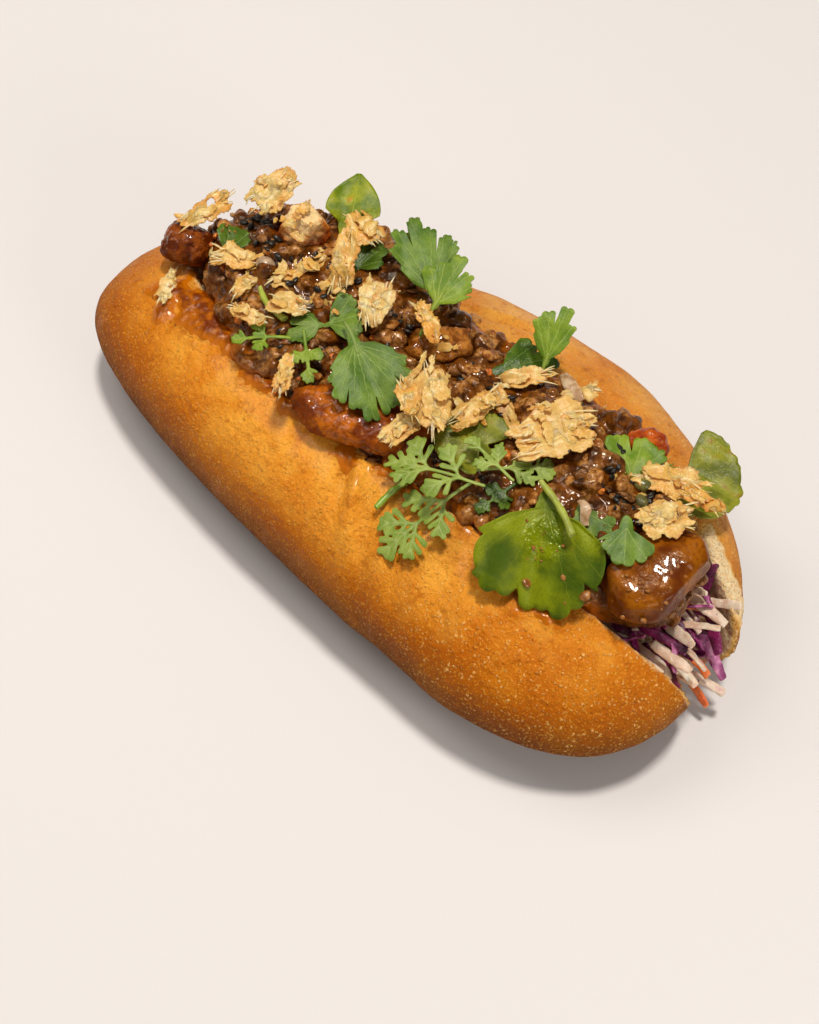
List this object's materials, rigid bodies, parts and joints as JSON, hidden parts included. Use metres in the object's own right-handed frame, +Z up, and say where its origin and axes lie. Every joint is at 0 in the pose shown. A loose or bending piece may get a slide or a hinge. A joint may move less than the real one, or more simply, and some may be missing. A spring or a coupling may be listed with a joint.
{
  "type": "banh mi sandwich",
  "caption": "Long split bread roll filled with slaw, glazed pork and relish, topped with coriander leaves and crisp fried flakes.",
  "frame": {"origin": "on the resting plane, under the middle of the sandwich's bounding box", "axes": "+X along the roll to its open end, +Y to the far half of the bread, +Z up"},
  "size_m": [0.241, 0.1262, 0.0733],
  "materials": {
    "crust": "baked golden-brown crust with fine pale blisters, satin",
    "slaw": "wet shredded cabbage and carrot: cream, purple and orange",
    "relish": "sticky brown chopped relish with black sesame",
    "glazed_pork": "dark red-brown sticky glaze",
    "crackling": "puffed pale crackling with a browned rim",
    "leaf": "fresh herb leaf with pale veins, satin",
    "stem": "pale green stem, satin",
    "fried_flake": "dry golden fried flake, darker at its edges"
  },
  "bodies": {
    "root": {"bread_roll": "crust", "slaw": "slaw", "pork_end": "glazed_pork", "pork_lip": "glazed_pork", "pork_open": "glazed_pork", "pork_back": "glazed_pork", "pork_middle": "glazed_pork", "crackling": "crackling", "leaf_under": "leaf", "leaf_cup_a": "leaf", "leaf_cup_b": "leaf", "leaf_olive": "leaf", "leaf_wet": "leaf", "leaf_pair": "leaf", "leaf_pale": "leaf", "leaf_back_left": "leaf", "leaf_back_right": "leaf", "leaf_lobed": "leaf", "leaf_blade": "leaf", "sprig_left": "leaf", "sprig_mid": "leaf", "leaf_folded": "leaf", "leaf_upright": "leaf", "frond_far": "leaf", "frond_low": "leaf", "frond_lower": "leaf", "frond_upper": "leaf", "frond_right": "leaf", "leaf_large": "leaf", "leaf_small": "leaf", "leaf_round": "leaf", "leaf_fan": "leaf", "stem_crust": "stem", "stem_pale": "stem", "stem_large": "stem", "flake_crust": "fried_flake", "flake_lip": "fried_flake", "flake_left_curved": "fried_flake", "flake_left_veil": "fried_flake", "flake_left_fold": "fried_flake", "flake_tip": "fried_flake", "flake_tip_back": "fried_flake", "flake_left_strip": "fried_flake", "flake_crown": "fried_flake", "flake_back": "fried_flake", "flake_tall": "fried_flake", "flake_crumpled": "fried_flake", "flake_husk": "fried_flake", "flake_near": "fried_flake", "flake_gold": "fried_flake", "flake_big": "fried_flake", "flake_middle": "fried_flake", "flake_hanging": "fried_flake", "flake_ridge": "fried_flake", "flake_curl": "fried_flake", "flake_broad": "fried_flake", "flake_open": "fried_flake", "flake_open_back": "fried_flake", "flake_strip": "fried_flake", "relish": "relish"}
  },
  "joints": []
}
